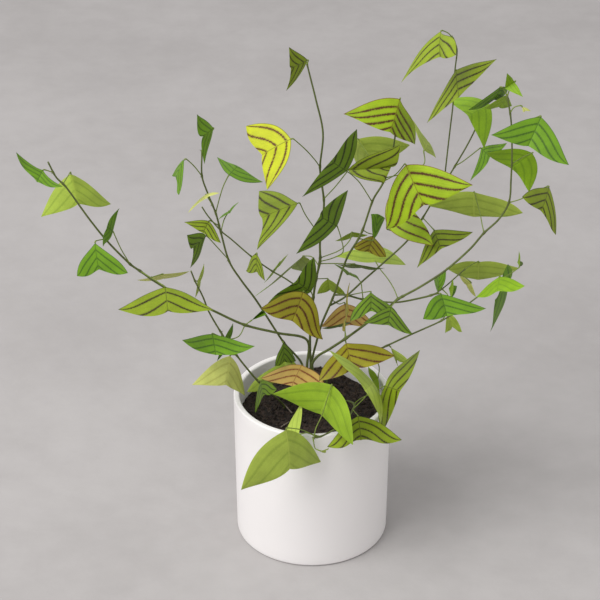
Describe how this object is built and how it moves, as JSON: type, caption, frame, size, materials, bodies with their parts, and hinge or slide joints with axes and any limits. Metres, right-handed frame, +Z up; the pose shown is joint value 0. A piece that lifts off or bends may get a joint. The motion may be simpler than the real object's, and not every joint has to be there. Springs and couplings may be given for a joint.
{
  "type": "potted butterfly wing plant",
  "caption": "Round white pot of soil with thin branching stems that carry boomerang-shaped leaves, striped like a butterfly's wings.",
  "frame": {"origin": "centre of the pot's flat underside", "axes": "+Z up along the pot's axis, -Y towards the side that the picture shows"},
  "size_m": [0.3793, 0.1764, 0.4251],
  "materials": {
    "pot": "satin white",
    "soil": "dark, loose and uneven",
    "foliage": "thin satin leaves, green with dark red-brown stripes"
  },
  "bodies": {
    "root": {"pot": "pot", "soil": "soil", "stem_far_left": "foliage", "stem_low_left": "foliage", "stem_left": "foliage", "stem_centre": "foliage", "stem_right_centre": "foliage", "stem_right": "foliage", "stem_low_right": "foliage", "stem_front": "foliage", "stem_short": "foliage"}
  },
  "joints": []
}
